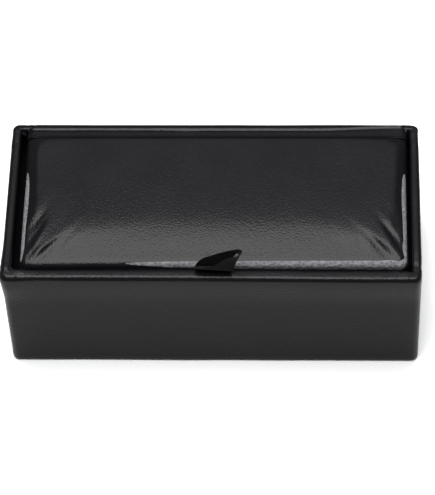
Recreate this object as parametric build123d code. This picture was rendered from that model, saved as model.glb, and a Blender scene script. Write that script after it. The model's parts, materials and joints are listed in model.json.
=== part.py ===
from build123d import *
import os

# A small cufflink box: greyboard walls wrapped in black leatherette, a padded lid that drops
# inside the rim on a leatherette hinge, a ribbon loop to pull it open, and a velvet cushion
# with two slits inside. Millimetres. +X is to the right, the front faces -Y, +Z is up, and
# the origin is the middle of the underside.

# The closed box, measured over its leatherette.
LENGTH = 80.0
DEPTH = 37.5
HEIGHT = 28.4

# Sheet goods.
LEATHERETTE = 0.3
WALL_BOARD = 1.2
BASE_BOARD = 1.2
COVER_SHEET = 0.2
LEDGE_BOARD = 2.0
LINING_CLOTH = 0.3
VELVET = 0.5

# The wrapped walls.
CORNER_ROUND = 1.45
RIM_ROUND = 1.0
RIM_INNER_ROUND = 0.5
BASE_ROUND = 0.45
TURN_IN = 9.0
TURN_UNDER = 9.0
COVER_MARGIN = 1.5
COVER_LAP = 0.5

# The lined ledge that the lid drops onto.
LEDGE_DROP = 5.4
LEDGE_ROUND = 0.5

# The lid, and the gaps between it and the walls.
LEFT_GAP = 1.3
RIGHT_GAP = 0.6
FRONT_GAP = 1.4
SEAT_GAP = 0.6
LID_BOARD = 1.5
LID_RISE = 0.1
CROWN_RISE = 0.7
LID_CORNER = 1.8
LID_EDGE_ROUND = 1.2
LID_TURN_UNDER = 7.0

# The lid's satin lining panel.
PANEL_CARD = 1.0
PANEL_PAD = 1.0
PANEL_SATIN = 0.3
PANEL_CORNER = 1.0
PANEL_EDGE_ROUND = 0.9
PANEL_SIDE_GAP = 0.8
PANEL_SWING_GAP = 0.3

# The hinge strip along the rear edge, which lies over the rim by its own thickness.
FOLD_RADIUS = 0.45
HINGE_END_GAP = 4.0
HINGE_LEAF_GAP = 0.2

# The cushion that holds the cufflinks.
INSERT_HEIGHT = 13.0
INSERT_FIT = 0.2
INSERT_ROUND = 1.0
INSERT_CARD = 1.0
INSERT_TURN_UNDER = 6.0
SLIT_WIDTH = 1.6
SLIT_LENGTH = 17.0
SLIT_DEPTH = 9.0
SLIT_SPACING = 34.0

# The ribbon pull.
RIBBON_WIDTH = 6.8
RIBBON_THICK = 0.2
RIBBON_X = 0.5
RIBBON_GAP = 0.1
RIBBON_GLUED = 4.5
LOOP_HEIGHT = 5.0
LOOP_RADIUS = 1.75
LOOP_LEAN = 0.7
LOOP_PINCH = 0.3
LOOP_GAP = 0.15

# Levels and inside sizes that follow from these.
WALL = WALL_BOARD + 2 * LEATHERETTE
BOARD_BOTTOM = COVER_SHEET + LEATHERETTE
FLOOR = BOARD_BOTTOM + BASE_BOARD
BOARD_INSET = LEATHERETTE + WALL_BOARD
INSIDE_LENGTH = LENGTH - 2 * BOARD_INSET
INSIDE_DEPTH = DEPTH - 2 * BOARD_INSET
WELL_LENGTH = LENGTH - 2 * WALL
WELL_DEPTH = DEPTH - 2 * WALL
LEDGE_TOP = HEIGHT - LEDGE_DROP
LEDGE = LEDGE_BOARD + LINING_CLOTH
POCKET_LENGTH = WELL_LENGTH - 2 * LEDGE
POCKET_DEPTH = WELL_DEPTH - 2 * LEDGE
PAST = 1.0


def block(length, depth, bottom, top, corner=0.0, at=(0.0, 0.0)):
    """An upright block on a rectangular plan, with its four upright corners rounded."""
    plan = RectangleRounded(length, depth, corner) if corner > 0 else Rectangle(length, depth)
    return extrude(Pos(at[0], at[1], bottom) * plan, amount=top - bottom)


def top_face(shape):
    return shape.faces().sort_by(Axis.Z)[-1]


def bottom_face(shape):
    return shape.faces().sort_by(Axis.Z)[0]


def wall_ring(inset):
    """The four walls as one ring, with each face that far inside the leatherette. It is square below."""
    ring = block(
        LENGTH - 2 * inset, DEPTH - 2 * inset, COVER_SHEET + inset, HEIGHT - inset, CORNER_ROUND - inset
    )
    ring -= block(WELL_LENGTH + 2 * inset, WELL_DEPTH + 2 * inset, 0, HEIGHT)
    ring = fillet(top_face(ring).outer_wire().edges(), RIM_ROUND - inset)
    return fillet(top_face(ring).inner_wires()[0].edges(), RIM_INNER_ROUND - inset)


def wall_boards():
    """Front and rear boards run the full length, and the side boards stand between them."""
    ring = wall_ring(LEATHERETTE)
    reach = DEPTH / 2
    front = Pos(0, -reach, 0) * Box(LENGTH, 2 * BOARD_INSET, 3 * HEIGHT)
    rear = Pos(0, reach, 0) * Box(LENGTH, 2 * BOARD_INSET, 3 * HEIGHT)
    sides = ring - front - rear
    return {
        "front_wall_board": ring & front,
        "rear_wall_board": ring & rear,
        "left_wall_board": sides & Pos(-LENGTH / 2, 0, 0) * Box(LENGTH, DEPTH, 3 * HEIGHT),
        "right_wall_board": sides & Pos(LENGTH / 2, 0, 0) * Box(LENGTH, DEPTH, 3 * HEIGHT),
    }


def base_board():
    return block(INSIDE_LENGTH, INSIDE_DEPTH, BOARD_BOTTOM, FLOOR)


def outer_wrap():
    """Leatherette over the walls and the rim, turned down inside and turned under the base."""
    outside = wall_ring(0)
    outside = fillet(bottom_face(outside).outer_wire().edges(), BASE_ROUND)
    wrap = outside - wall_ring(LEATHERETTE)
    wrap -= block(INSIDE_LENGTH, INSIDE_DEPTH, 0, HEIGHT - TURN_IN)
    margin = 2 * BASE_ROUND
    under = block(LENGTH - margin, DEPTH - margin, COVER_SHEET, BOARD_BOTTOM, CORNER_ROUND - BASE_ROUND)
    under -= block(LENGTH - 2 * TURN_UNDER, DEPTH - 2 * TURN_UNDER, 0, HEIGHT)
    return wrap + under


def base_cover():
    """The sheet pasted over the turned-under edge, which sinks inside it to meet the board."""
    low = 2 * COVER_MARGIN
    high = 2 * (TURN_UNDER + COVER_LAP)
    hollow = high + 2 * COVER_LAP
    cover = block(LENGTH - low, DEPTH - low, 0, COVER_SHEET, CORNER_ROUND)
    cover -= block(LENGTH - hollow, DEPTH - hollow, -PAST, COVER_SHEET)
    return cover + block(LENGTH - high, DEPTH - high, COVER_SHEET, BOARD_BOTTOM)


def ledge_ring(inset):
    """The ledge round the well, its lined faces moved back by inset."""
    ring = block(WELL_LENGTH, WELL_DEPTH, FLOOR, LEDGE_TOP - inset)
    ring -= block(POCKET_LENGTH + 2 * inset, POCKET_DEPTH + 2 * inset, 0, HEIGHT)
    return fillet(top_face(ring).inner_wires()[0].edges(), LEDGE_ROUND - inset)


def ledge_boards():
    ring = ledge_ring(LINING_CLOTH)
    reach = WELL_DEPTH / 2
    front = Pos(0, -reach, 0) * Box(LENGTH, 2 * LEDGE_BOARD, 3 * HEIGHT)
    rear = Pos(0, reach, 0) * Box(LENGTH, 2 * LEDGE_BOARD, 3 * HEIGHT)
    sides = ring - front - rear
    return {
        "front_ledge_board": ring & front,
        "rear_ledge_board": ring & rear,
        "left_ledge_board": sides & Pos(-LENGTH / 2, 0, 0) * Box(LENGTH, DEPTH, 3 * HEIGHT),
        "right_ledge_board": sides & Pos(LENGTH / 2, 0, 0) * Box(LENGTH, DEPTH, 3 * HEIGHT),
    }


def ledge_lining():
    """Satin pasted over the ledge boards and down their inner faces."""
    return ledge_ring(0) - ledge_ring(LINING_CLOTH)


def floor_lining():
    return block(POCKET_LENGTH, POCKET_DEPTH, FLOOR, FLOOR + LINING_CLOTH)


# The cushion stands on the lined floor: a card and a foam block, wrapped together in velvet.
INSERT_BOTTOM = FLOOR + LINING_CLOTH
INSERT_TOP = INSERT_BOTTOM + INSERT_HEIGHT
INSERT_LENGTH = POCKET_LENGTH - 2 * INSERT_FIT
INSERT_DEPTH = POCKET_DEPTH - 2 * INSERT_FIT
CARD_BOTTOM = INSERT_BOTTOM + VELVET
FOAM_BOTTOM = CARD_BOTTOM + INSERT_CARD


def cushion(inset, bottom):
    """The cushion with its two slits, every face that far inside the velvet."""
    form = block(INSERT_LENGTH - 2 * inset, INSERT_DEPTH - 2 * inset, bottom, INSERT_TOP - inset)
    form = fillet(top_face(form).edges(), INSERT_ROUND - inset)
    slit = block(
        SLIT_WIDTH + 2 * inset, SLIT_LENGTH + 2 * inset, INSERT_TOP - SLIT_DEPTH - inset, HEIGHT
    )
    return form - [Pos(side * SLIT_SPACING / 2, 0, 0) * slit for side in (-1, 1)]


def insert_card():
    return block(INSERT_LENGTH - 2 * VELVET, INSERT_DEPTH - 2 * VELVET, CARD_BOTTOM, FOAM_BOTTOM)


def insert_foam():
    return cushion(VELVET, FOAM_BOTTOM)


def insert_velvet():
    """Velvet over the top and sides, tucked into the slits and turned under the card."""
    under = 2 * INSERT_TURN_UNDER
    velvet = cushion(0, INSERT_BOTTOM) - insert_card() - insert_foam()
    return velvet - block(INSERT_LENGTH - under, INSERT_DEPTH - under, 0, CARD_BOTTOM)


# The lid's place between the walls.
LID_BOTTOM = LEDGE_TOP + SEAT_GAP
LID_TOP = HEIGHT + LID_RISE
LID_LEFT = -WELL_LENGTH / 2 + LEFT_GAP
LID_RIGHT = WELL_LENGTH / 2 - RIGHT_GAP
LID_FRONT = -WELL_DEPTH / 2 + FRONT_GAP
LID_REAR = WELL_DEPTH / 2 - 2 * FOLD_RADIUS
LID_LENGTH = LID_RIGHT - LID_LEFT
LID_DEPTH = LID_REAR - LID_FRONT
LID_AT = ((LID_LEFT + LID_RIGHT) / 2, (LID_FRONT + LID_REAR) / 2)
LID_BOARD_BOTTOM = LID_BOTTOM + LEATHERETTE
LID_BOARD_TOP = LID_BOARD_BOTTOM + LID_BOARD
CROWN_RADIUS = ((LID_DEPTH / 2) ** 2 + CROWN_RISE**2) / (2 * CROWN_RISE)

# The fold that the lid turns on fills the rear gap, and its crest is level with the strip's top.
FOLD_Y = WELL_DEPTH / 2 - FOLD_RADIUS
FOLD_Z = HEIGHT + LEATHERETTE - FOLD_RADIUS


def lid_form(inset, bottom):
    """The padded lid, crowned from front to back, every face that far inside its cover."""
    form = block(
        LID_LENGTH - 2 * inset, LID_DEPTH - 2 * inset, bottom, LID_TOP + PAST, LID_CORNER - inset, LID_AT
    )
    crown = Cylinder(CROWN_RADIUS - inset, 2 * LENGTH, rotation=(0, 90, 0))
    form &= Pos(LID_AT[0], LID_AT[1], LID_TOP - CROWN_RADIUS) * crown
    return fillet(top_face(form).edges(), LID_EDGE_ROUND - inset)


def lid_board():
    inset = 2 * LEATHERETTE
    corner = LID_CORNER - LEATHERETTE
    return block(LID_LENGTH - inset, LID_DEPTH - inset, LID_BOARD_BOTTOM, LID_BOARD_TOP, corner, LID_AT)


def lid_padding():
    return lid_form(LEATHERETTE, LID_BOARD_TOP)


def lid_wrap():
    """Leatherette over the padding and round the board, turned under as a ring."""
    under = 2 * LID_TURN_UNDER
    wrap = lid_form(0, LID_BOTTOM) - lid_form(LEATHERETTE, LID_BOARD_BOTTOM)
    return wrap - block(LID_LENGTH - under, LID_DEPTH - under, 0, LID_BOARD_BOTTOM, 0, LID_AT)


# The lining panel hangs in the pocket. Its front stays clear of the ledge as the lid swings.
PANEL_THICK = PANEL_CARD + PANEL_PAD + PANEL_SATIN
PANEL_BOTTOM = LID_BOTTOM - PANEL_THICK
PANEL_HALF = POCKET_LENGTH / 2 - PANEL_SIDE_GAP
PANEL_REAR = POCKET_DEPTH / 2 - PANEL_SIDE_GAP
PANEL_REACH = FOLD_Y + POCKET_DEPTH / 2 - PANEL_SWING_GAP
PANEL_FRONT = FOLD_Y - (PANEL_REACH**2 - (FOLD_Z - PANEL_BOTTOM) ** 2) ** 0.5
PANEL_LENGTH = 2 * PANEL_HALF
PANEL_DEPTH = PANEL_REAR - PANEL_FRONT
PANEL_AT = (0.0, (PANEL_FRONT + PANEL_REAR) / 2)


def panel_form(inset, top):
    """The lining panel, rounded along its lower edge, every face that far inside the satin."""
    bottom = PANEL_BOTTOM + inset
    form = block(
        PANEL_LENGTH - 2 * inset, PANEL_DEPTH - 2 * inset, bottom, top, PANEL_CORNER - inset, PANEL_AT
    )
    return fillet(bottom_face(form).edges(), PANEL_EDGE_ROUND - inset)


def ribbon_pocket():
    """The shallow place that the ribbon's glued ends press into the panel's card."""
    length = RIBBON_GLUED + RIBBON_GAP
    middle = PANEL_FRONT + length / 2
    depth = 2 * RIBBON_THICK
    return block(
        RIBBON_WIDTH + 2 * RIBBON_GAP, length, LID_BOTTOM - depth, LID_BOTTOM, 0, (RIBBON_X, middle)
    )


def lining_card():
    inset = 2 * PANEL_SATIN
    corner = PANEL_CORNER - PANEL_SATIN
    card = block(
        PANEL_LENGTH - inset, PANEL_DEPTH - inset, LID_BOTTOM - PANEL_CARD, LID_BOTTOM, corner, PANEL_AT
    )
    return card - ribbon_pocket()


def lining_padding():
    return panel_form(PANEL_SATIN, LID_BOTTOM - PANEL_CARD)


def lining_satin():
    return panel_form(0, LID_BOTTOM) - panel_form(PANEL_SATIN, LID_BOTTOM) - ribbon_pocket()


# The hinge strip is one folded piece of leatherette. Its fold belongs to the leaf on the wall.
HINGE_LENGTH = LID_LENGTH - 2 * HINGE_END_GAP
HINGE_LAP_END = DEPTH / 2 - RIM_ROUND


def hinge_wall_leaf():
    """Glued down the rear wall and over its rim, with the fold between the two."""
    middle = WELL_DEPTH / 2 - LEATHERETTE / 2
    leaf = block(HINGE_LENGTH, LEATHERETTE, LEDGE_TOP, FOLD_Z, 0, (LID_AT[0], middle))
    lap_at = (LID_AT[0], (FOLD_Y + HINGE_LAP_END) / 2)
    lap = block(HINGE_LENGTH, HINGE_LAP_END - FOLD_Y, HEIGHT, HEIGHT + LEATHERETTE, 0, lap_at)
    fold = Cylinder(FOLD_RADIUS, HINGE_LENGTH, rotation=(0, 90, 0))
    return leaf + lap + Pos(LID_AT[0], FOLD_Y, FOLD_Z) * fold


def hinge_lid_leaf():
    middle = LID_REAR + LEATHERETTE / 2
    top = FOLD_Z - FOLD_RADIUS - HINGE_LEAF_GAP
    return block(HINGE_LENGTH, LEATHERETTE, LID_BOTTOM, top, 0, (LID_AT[0], middle))


# The ribbon's two ends are glued under the lid and rise together in the front gap.
REAR_LEG = LID_FRONT - RIBBON_GAP
FRONT_LEG = REAR_LEG - RIBBON_THICK - RIBBON_GAP
PULL_Y = REAR_LEG - RIBBON_THICK - RIBBON_GAP / 2
PULL_Z = HEIGHT - 2 * LOOP_PINCH
TAIL_TOP = PULL_Z - LOOP_GAP
TAIL_END = PANEL_FRONT + RIBBON_GLUED


def ribbon_end(outer_y, top):
    """One end of the ribbon: flat under the lid, then up in front of it."""
    flat_depth = TAIL_END - outer_y + RIBBON_THICK
    flat_middle = TAIL_END - flat_depth / 2
    flat = block(RIBBON_WIDTH, flat_depth, top - RIBBON_THICK, top, 0, (RIBBON_X, flat_middle))
    leg = block(
        RIBBON_WIDTH, RIBBON_THICK, top - RIBBON_THICK, TAIL_TOP, 0, (RIBBON_X, outer_y - RIBBON_THICK / 2)
    )
    return flat + leg


def ribbon_ends():
    upper = ribbon_end(REAR_LEG, LID_BOTTOM)
    lower = ribbon_end(FRONT_LEG, LID_BOTTOM - RIBBON_THICK)
    return Compound(children=[*upper.solids(), *lower.solids()])


def loop_outline(inset):
    """A teardrop: a round top, and two straight legs that close to a pinch in the gap."""
    top_centre = HEIGHT + LOOP_HEIGHT - LOOP_RADIUS
    crest = Pos(PULL_Y - LOOP_LEAN, top_centre) * Circle(LOOP_RADIUS - inset)
    pinch = Pos(PULL_Y, PULL_Z + LOOP_PINCH) * Circle(LOOP_PINCH - inset)
    return make_hull([*crest.edges(), *pinch.edges()])


def pull_loop():
    band = loop_outline(0) - loop_outline(RIBBON_THICK)
    side = Plane(origin=(RIBBON_X, 0, 0), x_dir=(0, 1, 0), z_dir=(1, 0, 0))
    return extrude(side * band, amount=RIBBON_WIDTH / 2, both=True)


pieces = {
    "base_board": base_board(),
    **wall_boards(),
    "outer_wrap": outer_wrap(),
    "base_cover": base_cover(),
    **ledge_boards(),
    "ledge_lining": ledge_lining(),
    "floor_lining": floor_lining(),
    "insert_card": insert_card(),
    "insert_foam": insert_foam(),
    "insert_velvet": insert_velvet(),
    "hinge_wall_leaf": hinge_wall_leaf(),
    "hinge_lid_leaf": hinge_lid_leaf(),
    "lid_board": lid_board(),
    "lid_padding": lid_padding(),
    "lid_wrap": lid_wrap(),
    "lining_card": lining_card(),
    "lining_padding": lining_padding(),
    "lining_satin": lining_satin(),
    "ribbon_ends": ribbon_ends(),
    "pull_loop": pull_loop(),
}

os.makedirs("parts", exist_ok=True)
for name, piece in pieces.items():
    export_step(piece, f"parts/{name}.step")
print(f"lid turns about y={FOLD_Y:.2f} z={FOLD_Z:.2f}, loop about y={PULL_Y:.2f} z={PULL_Z:.2f}")
print(f"pocket z={INSERT_TOP:.2f} to {PANEL_BOTTOM:.2f}, {POCKET_LENGTH:.2f} by {POCKET_DEPTH:.2f}")
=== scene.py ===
import json
import math
import bpy
from mathutils import Matrix, Vector, noise
from mathutils.bvhtree import BVHTree


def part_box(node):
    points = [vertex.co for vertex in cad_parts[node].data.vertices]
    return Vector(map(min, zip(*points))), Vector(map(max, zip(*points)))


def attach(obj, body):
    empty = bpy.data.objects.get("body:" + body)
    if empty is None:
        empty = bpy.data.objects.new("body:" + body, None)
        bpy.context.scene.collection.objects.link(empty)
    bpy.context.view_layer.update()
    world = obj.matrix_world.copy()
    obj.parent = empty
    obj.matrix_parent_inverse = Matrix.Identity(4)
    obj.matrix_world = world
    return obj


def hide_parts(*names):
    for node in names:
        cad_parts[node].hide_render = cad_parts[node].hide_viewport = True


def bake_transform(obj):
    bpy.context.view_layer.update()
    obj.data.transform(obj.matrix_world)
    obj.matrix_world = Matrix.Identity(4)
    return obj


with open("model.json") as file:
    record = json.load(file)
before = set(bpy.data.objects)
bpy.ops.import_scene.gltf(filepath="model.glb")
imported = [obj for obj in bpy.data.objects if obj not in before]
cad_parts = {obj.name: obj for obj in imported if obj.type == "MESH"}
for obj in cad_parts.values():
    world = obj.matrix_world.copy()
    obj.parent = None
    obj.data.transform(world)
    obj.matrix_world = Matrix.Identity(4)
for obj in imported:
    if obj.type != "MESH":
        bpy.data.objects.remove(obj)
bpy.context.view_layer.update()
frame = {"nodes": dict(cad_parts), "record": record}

MM = 0.001
scene = bpy.context.scene
scene.view_settings.view_transform = "Standard"


# ---------------------------------------------------------------- sizes taken from the frame

wrap_low, wrap_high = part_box("outer_wrap")
HALF_LENGTH, HALF_DEPTH, RIM = wrap_high.x, wrap_high.y, wrap_high.z
WRAP_BOTTOM = wrap_low.z
WELL_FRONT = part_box("front_ledge_board")[0].y
WALL = WELL_FRONT + HALF_DEPTH
WELL_REAR = HALF_DEPTH - WALL
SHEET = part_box("hinge_lid_leaf")[1].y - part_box("hinge_lid_leaf")[0].y
lid_low, lid_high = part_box("lid_wrap")
panel_low, panel_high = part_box("lining_satin")
cushion_low, cushion_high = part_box("insert_velvet")

CORNER_ROUND = 1.45 * MM
RIM_ROUND = 0.8 * MM
RIM_DROP = 0.9 * MM
RIM_INNER_ROUND = 0.5 * MM
BASE_ROUND = 0.45 * MM
TURN_IN = 9.0 * MM
TURN_UNDER = 9.0 * MM


# ---------------------------------------------------------------- camera, floor and light

PHOTO_HEIGHT = 495
SENSOR = 36.0
FOCAL_PIXELS = 2761.5
CAMERA_AT = Vector((20.11, -321.70, 453.49)) * MM
PITCH, YAW, ROLL = (math.radians(angle) for angle in (53.851, -3.499, -2.706))


def add_camera():
    """The photograph's viewpoint, looking down at the front of the box."""
    ahead = Vector((math.sin(YAW) * math.cos(PITCH), math.cos(YAW) * math.cos(PITCH), -math.sin(PITCH)))
    level = Vector((math.cos(YAW), -math.sin(YAW), 0.0))
    up = level.cross(ahead)
    right_axis = math.cos(ROLL) * level + math.sin(ROLL) * up
    up_axis = math.cos(ROLL) * up - math.sin(ROLL) * level
    turn = Matrix((right_axis, up_axis, -ahead)).transposed()
    data = bpy.data.cameras.new("camera")
    data.sensor_width = SENSOR
    data.lens = SENSOR * FOCAL_PIXELS / PHOTO_HEIGHT
    data.clip_start = 0.01
    camera = bpy.data.objects.new("camera", data)
    camera.matrix_world = Matrix.Translation(CAMERA_AT) @ turn.to_4x4()
    scene.collection.objects.link(camera)
    scene.camera = camera


def area_lamp(name, at, aim, size, power, tint=(1.0, 1.0, 1.0)):
    data = bpy.data.lights.new(name, "AREA")
    data.shape = "RECTANGLE"
    data.size, data.size_y = size
    data.energy = power
    data.color = tint
    lamp = bpy.data.objects.new(name, data)
    facing = (Vector(aim) - Vector(at)).to_track_quat("-Z", "Y")
    lamp.matrix_world = Matrix.Translation(at) @ facing.to_matrix().to_4x4()
    scene.collection.objects.link(lamp)
    return lamp


def link(tree, source, target):
    tree.links.new(source, target)


FLOOR_TONE, FLOOR_SEEN = 0.8, 1.38
# Where what the box mirrors of the floor is painted dark: painted dark reflection, in front and behind.
PAINTED_REFLECTION_FRONT = (-55 * MM, -90 * MM)
PAINTED_REFLECTION_BEHIND = (45 * MM, 80 * MM)


def floor_card(name):
    """Pale card. The camera sees it as two layers of white, which add up, shadows and all. What the box
    mirrors of it is painted dark in front and behind, a painted dark reflection on the box."""
    material = bpy.data.materials.new(name)
    material.use_nodes = True
    tree = material.node_tree
    nodes = tree.nodes
    nodes.clear()
    output = nodes.new("ShaderNodeOutputMaterial")
    path = nodes.new("ShaderNodeLightPath")
    place = nodes.new("ShaderNodeSeparateXYZ")
    link(tree, nodes.new("ShaderNodeTexCoord").outputs["Object"], place.inputs[0])
    front = ramp(tree, place.outputs["Y"], 0.0, 1.0, *PAINTED_REFLECTION_FRONT)
    behind = ramp(tree, place.outputs["Y"], 0.0, 1.0, *PAINTED_REFLECTION_BEHIND)
    faded = nodes.new("ShaderNodeMath")
    faded.operation = "MAXIMUM"
    link(tree, front, faded.inputs[0])
    link(tree, behind, faded.inputs[1])
    painted_reflection = nodes.new("ShaderNodeMath")
    painted_reflection.operation = "MULTIPLY"
    link(tree, faded.outputs[0], painted_reflection.inputs[0])
    link(tree, path.outputs["Is Glossy Ray"], painted_reflection.inputs[1])
    # Glossy rays see the card fade from its tone to near black: painted dark reflection.
    tone = colour_mix(tree, painted_reflection.outputs[0], (FLOOR_TONE,) * 3, (0.1, 0.1, 0.1))
    layers = [nodes.new("ShaderNodeBsdfDiffuse") for _ in range(3)]
    link(tree, tone, layers[0].inputs["Color"])
    layers[1].inputs["Color"].default_value = (1.0, 1.0, 1.0, 1.0)
    layers[2].inputs["Color"].default_value = (FLOOR_SEEN - 1.0,) * 3 + (1.0,)
    add = nodes.new("ShaderNodeAddShader")
    mix = nodes.new("ShaderNodeMixShader")
    link(tree, layers[1].outputs[0], add.inputs[0])
    link(tree, layers[2].outputs[0], add.inputs[1])
    link(tree, path.outputs["Is Camera Ray"], mix.inputs[0])
    link(tree, layers[0].outputs[0], mix.inputs[1])
    link(tree, add.outputs[0], mix.inputs[2])
    link(tree, mix.outputs[0], output.inputs["Surface"])
    return material


def add_floor():
    """A sheet of pale card that curves up into the backdrop."""
    bpy.ops.object.select_all(action="DESELECT")
    bpy.ops.mesh.primitive_plane_add(size=3.0, location=(0.0, -0.6, 0.0))
    floor = bpy.context.object
    floor.name = "floor"
    bpy.ops.object.transform_apply(location=True, rotation=True, scale=True)
    bpy.ops.object.mode_set(mode="EDIT")
    bpy.ops.mesh.select_all(action="DESELECT")
    bpy.ops.object.mode_set(mode="OBJECT")
    for edge in floor.data.edges:
        edge.select = all(floor.data.vertices[i].co.y > 0.5 for i in edge.vertices)
    bpy.ops.object.mode_set(mode="EDIT")
    bpy.ops.mesh.select_mode(type="EDGE")
    steps, radius = 10, 0.5
    for step in range(steps):
        angle = math.radians(90) * (step + 0.5) / steps
        reach = radius * math.radians(90) / steps
        move = (0.0, math.cos(angle) * reach, math.sin(angle) * reach)
        bpy.ops.mesh.extrude_region_move(TRANSFORM_OT_translate={"value": move})
    bpy.ops.mesh.extrude_region_move(TRANSFORM_OT_translate={"value": (0.0, 0.0, 0.9)})
    bpy.ops.object.mode_set(mode="OBJECT")
    floor.data.polygons.foreach_set("use_smooth", [True] * len(floor.data.polygons))
    floor.data.materials.append(floor_card("floor_card"))


KEY_AT, KEY_POWER = (-0.06, 0.0, 0.95), 12.0
BACK_AT, BACK_POWER = (0.15, 0.85, 0.95), 1.3
LAMPS_AIM = (0.0, 0.0, 0.02)


def light_studio():
    world = bpy.data.worlds.new("studio")
    world.use_nodes = True
    scene.world = world
    background = world.node_tree.nodes["Background"]
    background.inputs["Color"].default_value = (0.93, 0.96, 1.0, 1.0)
    background.inputs["Strength"].default_value = 0.12
    area_lamp("key", KEY_AT, LAMPS_AIM, (0.9, 0.55), KEY_POWER)
    area_lamp("back", BACK_AT, LAMPS_AIM, (1.2, 0.5), BACK_POWER, (0.93, 0.95, 1.0))


# ---------------------------------------------------------------- materials

def new_material(name, colour, roughness):
    material = bpy.data.materials.new(name)
    material.use_nodes = True
    shader = material.node_tree.nodes["Principled BSDF"]
    shader.inputs["Base Color"].default_value = (*colour, 1.0)
    shader.inputs["Roughness"].default_value = roughness
    return material, material.node_tree, shader


def object_points(tree):
    return tree.nodes.new("ShaderNodeTexCoord").outputs["Object"]


def noise_texture(tree, points, scale, detail=3.0, rough=0.5):
    texture = tree.nodes.new("ShaderNodeTexNoise")
    texture.inputs["Scale"].default_value = scale
    texture.inputs["Detail"].default_value = detail
    texture.inputs["Roughness"].default_value = rough
    link(tree, points, texture.inputs["Vector"])
    return texture


def ramp(tree, value, low, high, from_low=0.0, from_high=1.0):
    node = tree.nodes.new("ShaderNodeMapRange")
    node.inputs["From Min"].default_value = from_low
    node.inputs["From Max"].default_value = from_high
    node.inputs["To Min"].default_value = low
    node.inputs["To Max"].default_value = high
    link(tree, value, node.inputs["Value"])
    return node.outputs["Result"]


def colour_mix(tree, factor, dark, light):
    node = tree.nodes.new("ShaderNodeMix")
    node.data_type = "RGBA"
    node.inputs["A"].default_value = (*dark, 1.0)
    node.inputs["B"].default_value = (*light, 1.0)
    link(tree, factor, node.inputs["Factor"])
    return node.outputs["Result"]


def bump(tree, height, depth, strength=1.0, below=None):
    node = tree.nodes.new("ShaderNodeBump")
    node.inputs["Strength"].default_value = strength
    node.inputs["Distance"].default_value = depth
    link(tree, height, node.inputs["Height"])
    if below is not None:
        link(tree, below, node.inputs["Normal"])
    return node.outputs["Normal"]


def leatherette(name, pebble=0.36 * MM, depth=0.024 * MM):
    """Black coated fabric, embossed with a fine pebble grain."""
    material, tree, shader = new_material(name, (0.012, 0.012, 0.013), 0.30)
    points = object_points(tree)
    bend = noise_texture(tree, points, 0.35 / pebble, 2.0)
    shift = tree.nodes.new("ShaderNodeVectorMath")
    shift.operation = "MULTIPLY_ADD"
    shift.inputs[1].default_value = (0.5 * pebble,) * 3
    link(tree, bend.outputs["Color"], shift.inputs[0])
    link(tree, points, shift.inputs[2])
    cells = tree.nodes.new("ShaderNodeTexVoronoi")
    cells.feature = "SMOOTH_F1"
    cells.inputs["Scale"].default_value = 1.0 / pebble
    cells.inputs["Smoothness"].default_value = 0.6
    link(tree, shift.outputs[0], cells.inputs["Vector"])
    grain = ramp(tree, cells.outputs["Distance"], 1.0, 0.0, 0.1, 0.8)
    pores = noise_texture(tree, points, 3.2 / pebble, 3.0)
    swell = noise_texture(tree, points, 90.0, 2.0)
    normal = bump(tree, swell.outputs["Fac"], 0.10 * MM, 0.5)
    normal = bump(tree, grain, depth, 1.0, normal)
    normal = bump(tree, pores.outputs["Fac"], 0.25 * depth, 0.6, normal)
    link(tree, normal, shader.inputs["Normal"])
    patches = noise_texture(tree, points, 140.0, 3.0)
    tone = colour_mix(tree, patches.outputs["Fac"], (0.006, 0.006, 0.007), (0.010, 0.010, 0.011))
    gloss = ramp(tree, patches.outputs["Fac"], 0.20, 0.28)
    link(tree, tone, shader.inputs["Base Color"])
    link(tree, gloss, shader.inputs["Roughness"])
    shader.inputs["Specular IOR Level"].default_value = 0.17
    return material


def satin(name, colour, shine=0.25, thread=0.12 * MM):
    """Woven satin: long floats that shine, with slack creases and a fine rib."""
    material, tree, shader = new_material(name, colour, 0.38)
    points = object_points(tree)
    rib = tree.nodes.new("ShaderNodeTexWave")
    rib.bands_direction = "Y"
    rib.inputs["Scale"].default_value = 0.31 / thread
    rib.inputs["Distortion"].default_value = 1.5
    rib.inputs["Detail"].default_value = 2.0
    link(tree, points, rib.inputs["Vector"])
    slack = noise_texture(tree, points, 120.0, 2.0)
    normal = bump(tree, slack.outputs["Fac"], 0.3 * MM, 0.5)
    normal = bump(tree, rib.outputs["Fac"], 0.01 * MM, 0.5, normal)
    link(tree, normal, shader.inputs["Normal"])
    sheen = noise_texture(tree, points, 400.0, 3.0)
    light = tuple(1.5 * part for part in colour)
    link(tree, colour_mix(tree, sheen.outputs["Fac"], colour, light), shader.inputs["Base Color"])
    link(tree, ramp(tree, sheen.outputs["Fac"], 0.3, 0.45), shader.inputs["Roughness"])
    shader.inputs["Sheen Weight"].default_value = shine
    shader.inputs["Sheen Roughness"].default_value = 0.4
    shader.inputs["Specular IOR Level"].default_value = shine
    return material


def velvet(name):
    material, tree, shader = new_material(name, (0.012, 0.012, 0.014), 0.9)
    points = object_points(tree)
    pile = noise_texture(tree, points, 5200.0, 2.0)
    brushed = noise_texture(tree, points, 160.0, 3.0)
    link(tree, bump(tree, pile.outputs["Fac"], 0.05 * MM, 0.8), shader.inputs["Normal"])
    tone = colour_mix(tree, brushed.outputs["Fac"], (0.008, 0.008, 0.010), (0.020, 0.020, 0.023))
    link(tree, tone, shader.inputs["Base Color"])
    shader.inputs["Sheen Weight"].default_value = 0.6
    shader.inputs["Sheen Roughness"].default_value = 0.35
    shader.inputs["Sheen Tint"].default_value = (0.5, 0.5, 0.55, 1.0)
    shader.inputs["Specular IOR Level"].default_value = 0.1
    return material


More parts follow.
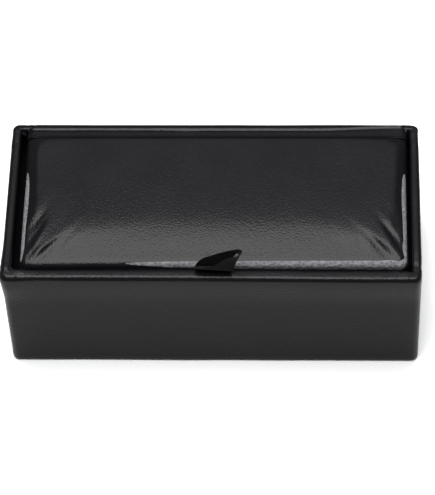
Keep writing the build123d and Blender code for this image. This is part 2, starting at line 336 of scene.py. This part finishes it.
def greyboard(name):
    material, tree, shader = new_material(name, (0.33, 0.32, 0.30), 0.92)
    points = object_points(tree)
    pulp = noise_texture(tree, points, 1500.0, 5.0, 0.65)
    flecks = noise_texture(tree, points, 420.0, 4.0, 0.7)
    tone = colour_mix(tree, flecks.outputs["Fac"], (0.24, 0.23, 0.21), (0.42, 0.41, 0.38))
    link(tree, tone, shader.inputs["Base Color"])
    link(tree, bump(tree, pulp.outputs["Fac"], 0.05 * MM, 0.7), shader.inputs["Normal"])
    return material


def foam(name):
    material, tree, shader = new_material(name, (0.20, 0.20, 0.21), 0.95)
    points = object_points(tree)
    pores = tree.nodes.new("ShaderNodeTexVoronoi")
    pores.inputs["Scale"].default_value = 1600.0
    link(tree, points, pores.inputs["Vector"])
    tone = colour_mix(tree, pores.outputs["Distance"], (0.10, 0.10, 0.11), (0.27, 0.27, 0.28))
    link(tree, tone, shader.inputs["Base Color"])
    link(tree, bump(tree, pores.outputs["Distance"], 0.2 * MM, 0.8), shader.inputs["Normal"])
    return material


def ribbon_satin(name):
    """Ribbon: fine ribs run across it."""
    material, tree, shader = new_material(name, (0.006, 0.006, 0.007), 0.55)
    place = tree.nodes.new("ShaderNodeUVMap")
    place.uv_map = "weave"
    split = tree.nodes.new("ShaderNodeSeparateXYZ")
    link(tree, place.outputs["UV"], split.inputs[0])
    rib = tree.nodes.new("ShaderNodeTexWave")
    rib.bands_direction = "Y"
    rib.inputs["Scale"].default_value = 60.0
    rib.inputs["Distortion"].default_value = 0.8
    link(tree, place.outputs["UV"], rib.inputs["Vector"])
    normal = bump(tree, rib.outputs["Fac"], 0.02 * MM, 0.5)
    link(tree, normal, shader.inputs["Normal"])
    points = object_points(tree)
    sheen = noise_texture(tree, points, 700.0, 3.0)
    tone = colour_mix(tree, sheen.outputs["Fac"], (0.003, 0.003, 0.003), (0.008, 0.008, 0.009))
    link(tree, tone, shader.inputs["Base Color"])
    shader.inputs["Specular IOR Level"].default_value = 0.12
    shader.inputs["Sheen Weight"].default_value = 0.05
    shader.inputs["Sheen Roughness"].default_value = 0.4
    return material


def base_paper(name):
    material, tree, shader = new_material(name, (0.022, 0.022, 0.024), 0.7)
    points = object_points(tree)
    grain = noise_texture(tree, points, 1800.0, 3.0)
    fibres = noise_texture(tree, points, 300.0, 5.0, 0.7)
    tone = colour_mix(tree, fibres.outputs["Fac"], (0.015, 0.015, 0.017), (0.032, 0.032, 0.034))
    link(tree, tone, shader.inputs["Base Color"])
    link(tree, bump(tree, grain.outputs["Fac"], 0.05 * MM, 0.7), shader.inputs["Normal"])
    return material


# ---------------------------------------------------------------- modelling helpers

def edit(obj, select_all=False):
    bpy.ops.object.select_all(action="DESELECT")
    bpy.context.view_layer.objects.active = obj
    obj.select_set(True)
    bpy.ops.object.mode_set(mode="EDIT")
    bpy.ops.mesh.select_mode(type="VERT")
    bpy.ops.mesh.select_all(action="SELECT" if select_all else "DESELECT")


def done():
    bpy.ops.object.mode_set(mode="OBJECT")


def pick(obj, test, kind="VERT"):
    """Selects the vertices, edges or faces whose middle passes the test, and stays in edit mode."""
    bpy.ops.mesh.select_mode(type=kind)
    bpy.ops.mesh.select_all(action="DESELECT")
    bpy.ops.object.mode_set(mode="OBJECT")
    mesh = obj.data
    if kind == "VERT":
        for vertex in mesh.vertices:
            vertex.select = test(vertex.co)
    elif kind == "EDGE":
        for one in mesh.edges:
            first, last = (mesh.vertices[i].co for i in one.vertices)
            one.select = test(first, last)
    else:
        for face in mesh.polygons:
            face.select = test(face.center, face.normal)
    bpy.ops.object.mode_set(mode="EDIT")


def apply_modifier(obj, name, kind, **settings):
    modifier = obj.modifiers.new(name, kind)
    for key, value in settings.items():
        setattr(modifier, key, value)
    bpy.ops.object.select_all(action="DESELECT")
    bpy.context.view_layer.objects.active = obj
    obj.select_set(True)
    bpy.ops.object.modifier_apply(modifier=modifier.name)


def smooth(obj, angle=50.0):
    bpy.ops.object.select_all(action="DESELECT")
    bpy.context.view_layer.objects.active = obj
    obj.select_set(True)
    bpy.ops.object.shade_smooth_by_angle(angle=math.radians(angle))


def one_point(name, at):
    """A new mesh of a single vertex, left in edit mode and selected, to be extruded into a line."""
    bpy.ops.object.select_all(action="DESELECT")
    bpy.ops.mesh.primitive_plane_add(size=MM, location=(0.0, 0.0, 0.0))
    obj = bpy.context.object
    obj.name = obj.data.name = name
    bpy.ops.object.mode_set(mode="EDIT")
    bpy.ops.mesh.select_mode(type="VERT")
    bpy.ops.mesh.select_all(action="SELECT")
    bpy.ops.mesh.merge(type="CENTER")
    bpy.ops.transform.translate(value=at)
    return obj


def extrude_by(move, steps=1):
    for _ in range(steps):
        bpy.ops.mesh.extrude_region_move(TRANSFORM_OT_translate={"value": Vector(move) / steps})


def extrude_arc(steps, radius, start, sweep, across, rising):
    """Extrudes the selected end round an arc, from angle start through sweep, in a plane."""
    angles = [start + sweep * step / steps for step in range(steps + 1)]
    spots = [radius * (math.cos(a) * across + math.sin(a) * rising) for a in angles]
    for before, after in zip(spots, spots[1:]):
        extrude_by(after - before)


def smoothstep(low, high, value):
    """Rises from 0 at low to 1 at high, whichever of the two is the greater."""
    share = min(max((value - low) / (high - low), 0.0), 1.0)
    return share * share * (3.0 - 2.0 * share)


def rounded_slab(name, low, high, corner, edge, edge_side):
    """A block with rounded upright corners, and a rounded edge round its top (1) or underside (-1)."""
    bpy.ops.object.select_all(action="DESELECT")
    middle = (low + high) / 2
    bpy.ops.mesh.primitive_cube_add(size=1.0, location=middle)
    obj = bpy.context.object
    obj.name = obj.data.name = name
    obj.scale = high - low
    bpy.ops.object.transform_apply(location=True, rotation=True, scale=True)
    edit(obj)
    pick(obj, lambda a, b: abs(a.z - b.z) > 0.5 * (high.z - low.z), "EDGE")
    bpy.ops.mesh.bevel(offset=corner, segments=6, profile=0.5)
    level = high.z if edge_side > 0 else low.z
    pick(obj, lambda a, b: abs(a.z - level) < 0.01 * MM and abs(b.z - level) < 0.01 * MM, "EDGE")
    bpy.ops.mesh.bevel(offset=edge, segments=5, profile=0.5)
    done()
    return obj


def remesh(obj, voxel):
    apply_modifier(obj, "remesh", "REMESH", mode="VOXEL", voxel_size=voxel, use_smooth_shade=True)


SIM_SCALE = 20.0
SIM_FRAMES = 20
PRESSURE = 4.0


def puff(obj, held, pressure, cap):
    """Swells a padded piece: its cover is cloth under pressure, held where held(point) is true."""
    start = [vertex.co.copy() for vertex in obj.data.vertices]
    pins = obj.vertex_groups.new(name="held")
    pins.add([i for i, spot in enumerate(start) if held(spot)], 1.0, "REPLACE")
    obj.data.transform(Matrix.Scale(SIM_SCALE, 4))
    cloth = obj.modifiers.new("cloth", "CLOTH")
    cloth.settings.vertex_group_mass = "held"
    cloth.settings.effector_weights.gravity = 0.0
    cloth.settings.use_pressure = True
    cloth.settings.uniform_pressure_force = pressure
    cloth.settings.tension_stiffness = 15.0
    cloth.settings.compression_stiffness = 15.0
    cloth.settings.bending_stiffness = 0.5
    cloth.collision_settings.use_collision = False
    cloth.point_cache.frame_start = 1
    cloth.point_cache.frame_end = SIM_FRAMES
    for step in range(1, SIM_FRAMES + 1):
        scene.frame_set(step)
    bpy.ops.object.select_all(action="DESELECT")
    bpy.context.view_layer.objects.active = obj
    obj.select_set(True)
    bpy.ops.object.modifier_apply(modifier=cloth.name)
    scene.frame_set(1)
    obj.data.transform(Matrix.Scale(1.0 / SIM_SCALE, 4))
    obj.vertex_groups.clear()
    moved = 0.0
    for vertex, before in zip(obj.data.vertices, start):
        move = vertex.co - before
        moved = max(moved, move.length)
        if move.length > cap:
            vertex.co = before + move * (cap / move.length)
    print(f"{obj.name}: the cloth moved up to {moved / MM:.2f} mm, capped at {cap / MM:.2f}")


def dress(obj, material, body):
    obj.data.materials.clear()
    obj.data.materials.append(material)
    if body:
        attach(obj, body)


# ---------------------------------------------------------------- the wrapped walls

FINE, COARSE, FINE_RUN = 0.35 * MM, 1.0 * MM, 9.0 * MM


def wall_section(name):
    """The section of the leatherette at the left end of the front wall, drawn as one line."""
    inward, up = Vector((0, 1, 0)), Vector((0, 0, 1))
    start = Vector((-HALF_LENGTH + CORNER_ROUND, -HALF_DEPTH + TURN_UNDER, WRAP_BOTTOM))
    obj = one_point(name, start)
    extrude_by(-inward * (TURN_UNDER - BASE_ROUND), 7)
    extrude_arc(4, BASE_ROUND, math.radians(270), math.radians(-90), inward, up)
    extrude_by(up * (RIM - RIM_DROP - BASE_ROUND - WRAP_BOTTOM - 5 * MM), 20)
    extrude_by(up * 5 * MM, 12)
    extrude_arc(12, 1.0, math.radians(180), math.radians(-90), inward * RIM_ROUND, up * RIM_DROP)
    extrude_by(inward * (WALL - RIM_ROUND - RIM_INNER_ROUND), 2)
    extrude_arc(5, RIM_INNER_ROUND, math.radians(90), math.radians(-90), inward, up)
    extrude_by(-up * (TURN_IN - RIM_INNER_ROUND), 9)
    done()
    depth_group = obj.vertex_groups.new(name="depth")
    for vertex in obj.data.vertices:
        depth_group.add([vertex.index], (vertex.co.y + HALF_DEPTH) / (2 * TURN_UNDER), "REPLACE")
    return obj


def sweep_walls(obj):
    """Carries the section round the box: fine steps near the corners, where the leatherette creases."""
    edit(obj, select_all=True)
    long_run = 2 * (HALF_LENGTH - CORNER_ROUND)
    short_run = 2 * (HALF_DEPTH - CORNER_ROUND)
    heading, run = Vector((1, 0, 0)), long_run
    corners = [(1, -1), (1, 1), (-1, 1), (-1, -1)]
    for side in corners:
        extrude_by(heading * FINE_RUN, round(FINE_RUN / FINE))
        middle_run = run - 2 * FINE_RUN
        extrude_by(heading * middle_run, round(middle_run / COARSE))
        extrude_by(heading * FINE_RUN, round(FINE_RUN / FINE))
        centre = (side[0] * (HALF_LENGTH - CORNER_ROUND), side[1] * (HALF_DEPTH - CORNER_ROUND), 0.0)
        bpy.ops.mesh.spin(steps=8, angle=math.radians(90), center=centre, axis=(0, 0, -1))
        heading = Vector((-heading.y, heading.x, 0.0))
        run = short_run if run == long_run else long_run
    done()
    for vertex in obj.data.vertices:
        depth = vertex.groups[0].weight * 2 * TURN_UNDER
        reach_x, reach_y = HALF_LENGTH - depth, HALF_DEPTH - depth
        vertex.co.x = min(max(vertex.co.x, -reach_x), reach_x)
        vertex.co.y = min(max(vertex.co.y, -reach_y), reach_y)
    edit(obj, select_all=True)
    bpy.ops.mesh.remove_doubles(threshold=0.005 * MM)
    bpy.ops.mesh.normals_make_consistent(inside=False)
    done()


CREASE_DEPTH = 0.16 * MM
CREASE_REACH = 9.0 * MM
CORNER_BULGE = 0.35 * MM


def crease(spot):
    """How far the leatherette stands out: slack ripples all over, and gathered folds at the corners."""
    slack = 0.05 * MM * noise.noise(spot / (11 * MM))
    side_gap = HALF_LENGTH - abs(spot.x)
    end_gap = HALF_DEPTH - abs(spot.y)
    along = side_gap if end_gap < side_gap else end_gap
    near_corner = 1.0 - smoothstep(1.0 * MM, CREASE_REACH, along)
    near_rim = smoothstep(RIM - 4.0 * MM, RIM - 0.8 * MM, spot.z)
    fold = noise.noise(Vector((spot.x / (1.1 * MM), spot.y / (1.1 * MM), spot.z / (4 * MM))))
    folds = CREASE_DEPTH * near_corner * near_rim * fold
    bulge_x = smoothstep(-HALF_LENGTH + 7 * MM, -HALF_LENGTH, spot.x)
    bulge_z = smoothstep(RIM - 9 * MM, RIM - 1.5 * MM, spot.z)
    bulge_y = smoothstep(-HALF_DEPTH + 9 * MM, -HALF_DEPTH, spot.y)
    return slack + folds + CORNER_BULGE * bulge_x * bulge_z * bulge_y


UNDER_STRIP_DROP = 0.28 * MM
REAR_SLOPE, REAR_SLOPE_RUN = 0.18, 1.45 * MM
LIP_OUT = 0.35 * MM
LIP_OUT_RIGHT = 0.2 * MM
LIP_DROP = 0.05 * MM
LIP_SAG = 0.1 * MM


def front_rim(spot):
    """The front rim stands out a little over the wall, and sags toward its right end."""
    outer = smoothstep(-HALF_DEPTH + 1.6 * MM, -HALF_DEPTH + 0.5 * MM, spot.y)
    level = smoothstep(WELL_FRONT + 4.0 * MM, WELL_FRONT + 0.3 * MM, spot.y)
    high = smoothstep(RIM - 9.0 * MM, RIM - 0.9 * MM, spot.z)
    right = smoothstep(-10 * MM, 32 * MM, spot.x)
    spot.y -= (LIP_OUT + LIP_OUT_RIGHT * right) * outer * high
    spot.z -= (LIP_DROP + LIP_SAG * right) * level * high


def box_wrap(material):
    obj = wall_section("box_wrap")
    sweep_walls(obj)
    normals = [vertex.normal.copy() for vertex in obj.data.vertices]
    for vertex, normal in zip(obj.data.vertices, normals):
        under_strip = smoothstep(WELL_REAR + 0.35 * MM, WELL_REAR + 0.1 * MM, vertex.co.y)
        within = smoothstep(HALF_LENGTH - 2.0 * MM, HALF_LENGTH - 4.0 * MM, abs(vertex.co.x))
        if vertex.co.y > WELL_REAR - 0.05 * MM and vertex.co.z > RIM - 1.5 * MM:
            vertex.co.z -= UNDER_STRIP_DROP * under_strip * within
            vertex.co.z -= REAR_SLOPE * max(vertex.co.y - HALF_DEPTH + REAR_SLOPE_RUN, 0.0)
        inside = vertex.co.z < RIM - 1.0 * MM and abs(vertex.co.y) < HALF_DEPTH - 1.5 * MM and (
            abs(vertex.co.x) < HALF_LENGTH - 1.5 * MM
        )
        under = vertex.co.z < WRAP_BOTTOM + 0.2 * MM
        if not inside and not under:
            vertex.co += normal * crease(vertex.co)
        front_rim(vertex.co)
    obj.vertex_groups.clear()
    apply_modifier(obj, "sheet", "SOLIDIFY", thickness=0.8 * SHEET, offset=-1.0, use_even_offset=True)
    smooth(obj, 60.0)
    dress(obj, material, "base")
    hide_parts("outer_wrap")
    return obj


# ---------------------------------------------------------------- the lid

LID_EASE = 0.08 * MM
LID_CROWN = 0.55 * MM
LID_REAR_DROP = 0.05 * MM
LID_REAR_REACH = 0.65 * MM
LID_REAR_RUN = 1.6 * MM
LID_ASKEW_LEFT, LID_ASKEW_RIGHT = 0.0136, 0.0055
LID_HELD_BELOW, LID_HELD_REAR = 2.2 * MM, 0.8 * MM


def lid_shape(spot, middle, half):
    """Crowns the slab, lifts its rear edge square, and sets its front edge a little askew."""
    raised = smoothstep(lid_low.z + 1.5 * MM, lid_high.z - 0.5 * MM, spot.z)
    share = (spot.y - middle) / half
    spot.z -= raised * (LID_CROWN if share < 0 else LID_REAR_DROP) * abs(share) ** 3
    square = smoothstep(lid_high.y - LID_REAR_RUN, lid_high.y, spot.y)
    spot.y += square * (LID_REAR_REACH * (0.4 + 0.6 * raised))
    askew = smoothstep(0.3, -1.0, share)
    spot.y += askew * (LID_ASKEW_LEFT if spot.x < 0 else LID_ASKEW_RIGHT) * spot.x


def lid_cover(material):
    """Leatherette drawn over the foam and round the board: flat underneath, crowned on top."""
    ease = Vector((LID_EASE, LID_EASE, 0.0))
    low, high = lid_low - ease, lid_high + ease
    obj = rounded_slab("lid_cover", low, high, 1.8 * MM, 1.2 * MM, 1)
    remesh(obj, 0.5 * MM)
    middle, half = (lid_low.y + lid_high.y) / 2, (lid_high.y - lid_low.y) / 2
    for vertex in obj.data.vertices:
        lid_shape(vertex.co, middle, half)
    hold_below = high.z - LID_HELD_BELOW
    puff(obj, lambda spot: spot.z < hold_below or spot.y > lid_high.y - LID_HELD_REAR, PRESSURE, 0.5 * MM)
    apply_modifier(obj, "round", "SUBSURF", levels=1, render_levels=1)
    smooth(obj, 60.0)
    dress(obj, material, "lid")
    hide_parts("lid_wrap")
    return obj


def lining_panel(material):
    low = panel_low.copy()
    low.z += 0.4 * MM
    obj = rounded_slab("lining_panel", low, panel_high, 1.0 * MM, 0.8 * MM, -1)
    remesh(obj, 0.6 * MM)
    puff(obj, lambda spot: spot.z > low.z + 1.2 * MM, PRESSURE, 0.6 * MM)
    apply_modifier(obj, "round", "SUBSURF", levels=1, render_levels=1)
    smooth(obj, 60.0)
    dress(obj, material, "lid")
    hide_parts("lining_satin")
    return obj


# ---------------------------------------------------------------- the cushion

SLIT_WIDTH, SLIT_LENGTH, SLIT_DEPTH, SLIT_SPACING = (size * MM for size in (1.6, 17.0, 9.0, 34.0))


def cushion(material):
    high = cushion_high.copy()
    high.z -= 0.3 * MM
    obj = rounded_slab("cushion", cushion_low, high, 1.2 * MM, 0.9 * MM, 1)
    for side in (-1, 1):
        bpy.ops.object.select_all(action="DESELECT")
        bpy.ops.mesh.primitive_cube_add(size=1.0, location=(side * SLIT_SPACING / 2, 0.0, high.z))
        cutter = bpy.context.object
        cutter.scale = (SLIT_WIDTH, SLIT_LENGTH, 2 * SLIT_DEPTH)
        bpy.ops.object.transform_apply(location=True, rotation=True, scale=True)
        apply_modifier(obj, "slit", "BOOLEAN", operation="DIFFERENCE", object=cutter, solver="EXACT")
        bpy.data.objects.remove(cutter)
    remesh(obj, 0.45 * MM)
    puff(
        obj,
        lambda spot: spot.z < high.z - 1.5 * MM
        or abs(abs(spot.x) - SLIT_SPACING / 2) < 0.8 * SLIT_WIDTH and abs(spot.y) < 0.52 * SLIT_LENGTH,
        PRESSURE,
        0.6 * MM,
    )
    apply_modifier(obj, "soften", "SMOOTH", factor=0.5, iterations=4)
    smooth(obj, 60.0)
    dress(obj, material, "base")
    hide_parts("insert_velvet")
    return obj


# ---------------------------------------------------------------- the hinge strip

STRIP_DEPTH = 4.4 * MM
STRIP_FROM = 1.5 * MM
STRIP_LEAVE = 0.9 * MM
STRIP_LAP, STRIP_LAP_RIGHT = 0.2 * MM, 0.6 * MM
STRIP_TAIL = 0.25 * MM
STRIP_END_ROUND = 1.2 * MM


def strip_edge(x):
    """How far back the strip reaches over the rim: it lies askew, so more at the right."""
    return WELL_REAR + STRIP_LAP + STRIP_LAP_RIGHT * smoothstep(20 * MM, 35 * MM, x)


def strip_height(x, y, cover):
    """Level with the lid's cover where it leaves it, then over the rear gap and up onto the rim."""
    leave = lid_high.y - STRIP_LEAVE
    inside_x = min(max(x, lid_low.x + 2.5 * MM), lid_high.x - 2.5 * MM)

    def cover_height(at):
        return cover.ray_cast(Vector((inside_x, at, 1.0)), Vector((0, 0, -1)))[0].z + 0.012 * MM

    if y < leave:
        return cover_height(y) - 0.03 * MM * smoothstep(0.0, STRIP_FROM - STRIP_LEAVE, leave - y)
    start = cover_height(leave)
    slope = (start - cover_height(leave - 0.5 * MM)) / (0.5 * MM)
    level = start + max(slope, -0.1) * (min(y, lid_high.y) - leave)
    edge = strip_edge(x)
    left = 1.0 - smoothstep(-16 * MM, 0.0, x)
    bridge = smoothstep(lid_high.y, edge - 0.5 * MM, y)
    groove = max(1.0 - abs(y - edge + 0.62 * MM) / (0.2 * MM), 0.0)
    ridge = min(max((y - edge + 0.5 * MM) / (0.5 * MM), 0.0), 1.0)
    height = level + (RIM - 0.02 * MM - level) * bridge + (0.18 * ridge - 0.2 * left * groove) * MM
    return height - 0.35 * MM * smoothstep(edge - 0.03 * MM, edge + STRIP_TAIL, y)


def hinge_strip(material, cover_piece):
    """The lid's leatherette runs on over the fold and the rear rim, and is glued down there."""
    cover = BVHTree.FromObject(cover_piece, bpy.context.evaluated_depsgraph_get())
    obj = one_point("hinge_strip", Vector((lid_low.x, 0.0, 0.0)))
    extrude_by((0.0, STRIP_DEPTH, 0.0), 36)
    bpy.ops.mesh.select_all(action="SELECT")
    extrude_by((STRIP_END_ROUND, 0.0, 0.0), 8)
    middle_length = lid_high.x - lid_low.x - 2 * STRIP_END_ROUND
    extrude_by((middle_length, 0.0, 0.0), round(middle_length / (0.45 * MM)))
    extrude_by((STRIP_END_ROUND, 0.0, 0.0), 8)
    bpy.ops.mesh.select_all(action="SELECT")
    bpy.ops.mesh.normals_make_consistent(inside=False)
    done()
    front = lid_high.y - STRIP_FROM
    for vertex in obj.data.vertices:
        x = vertex.co.x
        reach = strip_edge(x) + STRIP_TAIL - front
        y = front + vertex.co.y / STRIP_DEPTH * reach
        z = strip_height(x, y, cover)
        end_gap = min(x - lid_low.x, lid_high.x - x)
        inset = max(STRIP_END_ROUND - end_gap, 0.0)
        drop = STRIP_END_ROUND - math.sqrt(max(STRIP_END_ROUND**2 - inset**2, 0.0))
        over = smoothstep(lid_high.y, WELL_REAR + 0.3 * MM, y)
        z -= min(drop, (1.0 - over) * STRIP_END_ROUND + over * 0.3 * MM)
        slack = smoothstep(lid_high.y + 0.2 * MM, WELL_REAR + 0.5 * MM, y)
        pucker = noise.noise(Vector((x / (1.4 * MM), y / (0.8 * MM), 0.0)))
        left = 1.0 - smoothstep(-14 * MM, 6 * MM, x)
        vertex.co = (x, y, z + slack * pucker * (0.02 + 0.05 * left) * MM)
    apply_modifier(obj, "sheet", "SOLIDIFY", thickness=0.4 * SHEET, offset=-1.0)
    smooth(obj, 60.0)
    dress(obj, material, None)
    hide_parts("hinge_wall_leaf", "hinge_lid_leaf")
    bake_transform(obj)
    return obj


# ---------------------------------------------------------------- the ribbon

RIBBON_THICK = 0.2 * MM
ribbon_low, ribbon_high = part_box("ribbon_ends")
RIBBON_LEFT, RIBBON_RIGHT = ribbon_low.x / MM, ribbon_high.x / MM
REAR_LEG, FRONT_LEG = lid_low.y / MM - 0.25, lid_low.y / MM - 0.55
UNDER_LID, GLUED_TO = lid_low.z / MM, ribbon_high.y / MM

# The ribbon's two edges, left and right, along its length: out from under the lid, up the
# gap, round the loop that leans to the right, and back down. Millimetres.
RIBBON_STATIONS = [
    ((RIBBON_LEFT, GLUED_TO, UNDER_LID - 0.1), (RIBBON_RIGHT, GLUED_TO, UNDER_LID - 0.1)),
    ((RIBBON_LEFT, REAR_LEG + 1.2, UNDER_LID - 0.1), (RIBBON_RIGHT, REAR_LEG + 1.2, UNDER_LID - 0.1)),
    ((RIBBON_LEFT, REAR_LEG, UNDER_LID + 0.6), (RIBBON_RIGHT, REAR_LEG, UNDER_LID + 0.6)),
    ((RIBBON_LEFT, REAR_LEG, 26.5), (RIBBON_RIGHT, REAR_LEG, 26.5)),
    ((RIBBON_LEFT, REAR_LEG + 0.05, 28.3), (RIBBON_RIGHT, REAR_LEG + 0.05, 28.2)),
    ((-1.6, -15.3, 29.7), (4.2, -15.4, 29.4)),
    ((0.66, -15.0, 30.5), (4.4, -15.2, 30.4)),
    ((3.0, -15.0, 31.6), (4.8, -15.3, 31.3)),
    ((5.3, -15.5, 32.9), (5.2, -15.7, 32.0)),
    ((6.0, -16.4, 33.3), (5.4, -16.5, 32.2)),
    ((5.0, -17.3, 33.1), (5.0, -17.4, 31.9)),
    ((3.0, -17.5, 32.6), (4.7, -17.8, 31.2)),
    ((0.85, -17.9, 31.1), (4.3, -18.3, 30.3)),
    ((-1.9, -18.1, 30.3), (4.1, -18.4, 30.1)),
    ((-3.0, -17.5, 29.65), (3.95, -17.6, 29.6)),
    ((-3.1, -16.65, 28.95), (3.9, -16.7, 28.95)),
    ((RIBBON_LEFT, FRONT_LEG, 27.9), (RIBBON_RIGHT, FRONT_LEG, 27.9)),
    ((RIBBON_LEFT, FRONT_LEG, 25.5), (RIBBON_RIGHT, FRONT_LEG, 25.5)),
    ((RIBBON_LEFT, FRONT_LEG, UNDER_LID + 0.4), (RIBBON_RIGHT, FRONT_LEG, UNDER_LID + 0.4)),
    ((RIBBON_LEFT, FRONT_LEG + 1.2, UNDER_LID - 0.3), (RIBBON_RIGHT, FRONT_LEG + 1.2, UNDER_LID - 0.3)),
    ((RIBBON_LEFT, GLUED_TO, UNDER_LID - 0.3), (RIBBON_RIGHT, GLUED_TO, UNDER_LID - 0.3)),
]


def smooth_line(points, steps):
    """A line through every point, rounded between them."""
    line = []
    for i in range(len(points) - 1):
        before = points[max(i - 1, 0)]
        here, after = points[i], points[i + 1]
        beyond = points[min(i + 2, len(points) - 1)]
        for step in range(steps):
            t = step / steps
            line.append(
                0.5 * (2 * here + (after - before) * t + (2 * before - 5 * here + 4 * after - beyond) * t * t
                       + (3 * here - before - 3 * after + beyond) * t * t * t)
            )
    line.append(points[-1])
    return line


def pull_ribbon(material):
    steps, across = 6, 10
    left = smooth_line([Vector(pair[0]) * MM for pair in RIBBON_STATIONS], steps)
    right = smooth_line([Vector(pair[1]) * MM for pair in RIBBON_STATIONS], steps)
    obj = one_point("pull_ribbon", left[0])
    extrude_by(right[0] - left[0], across)
    bpy.ops.mesh.select_all(action="SELECT")
    extrude_by((0.0, -MM * len(left), 0.0), len(left) - 1)
    done()
    mesh = obj.data
    spots = [vertex.co for vertex in mesh.vertices]
    order = sorted(range(len(spots)), key=lambda i: (-round(spots[i].y / (0.05 * MM)), spots[i].x))
    width = across + 1
    for row in range(len(left)):
        for column in range(width):
            share = column / across
            mesh.vertices[order[row * width + column]].co = left[row].lerp(right[row], share)
    weave = mesh.uv_layers.new(name="weave")
    place = {index: (rank % width / across, rank // width / len(left)) for rank, index in enumerate(order)}
    for loop in mesh.loops:
        weave.data[loop.index].uv = place[loop.vertex_index]
    edit(obj, select_all=True)
    bpy.ops.mesh.normals_make_consistent(inside=False)
    done()
    apply_modifier(obj, "cloth", "SOLIDIFY", thickness=0.8 * RIBBON_THICK, offset=0.0)
    smooth(obj, 60.0)
    dress(obj, material, None)
    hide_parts("ribbon_ends", "pull_loop")
    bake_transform(obj)
    return obj


# ---------------------------------------------------------------- the scene

add_camera()
add_floor()
light_studio()

wrap_leather = leatherette("leatherette_walls")
lid_leather = leatherette("leatherette_lid")
lining = satin("satin_lining", (0.008, 0.008, 0.009))
# A near-black copy of the lining satin with almost no shine, for the ledge lining down in the gap round the
# lid: painted shade.
lining_painted_shade = satin("satin_painted_shade", (0.002, 0.002, 0.002), 0.01)
pile = velvet("velvet_pile")
board = greyboard("greyboard")
padding = foam("open_foam")
paper = base_paper("base_sheet")
ribbon = ribbon_satin("ribbon_satin")

box_wrap(wrap_leather)
cover = lid_cover(lid_leather)
lining_panel(lining)
cushion(pile)
hinge_strip(lid_leather, cover)
pull_ribbon(ribbon)

finishes = {
    "greyboard": board, "lining_satin": lining, "foam": padding, "base_paper": paper, "velvet": pile,
    "leatherette": wrap_leather, "ribbon": ribbon,
}
slots = {part["node"]: part["material_slot"] for part in frame["record"]["subparts"]}
for node, obj in frame["nodes"].items():
    for place in obj.material_slots:
        # The ledge lining takes the near-black satin copy: painted shade.
        place.material = lining_painted_shade if node == "ledge_lining" else finishes[slots[node]]
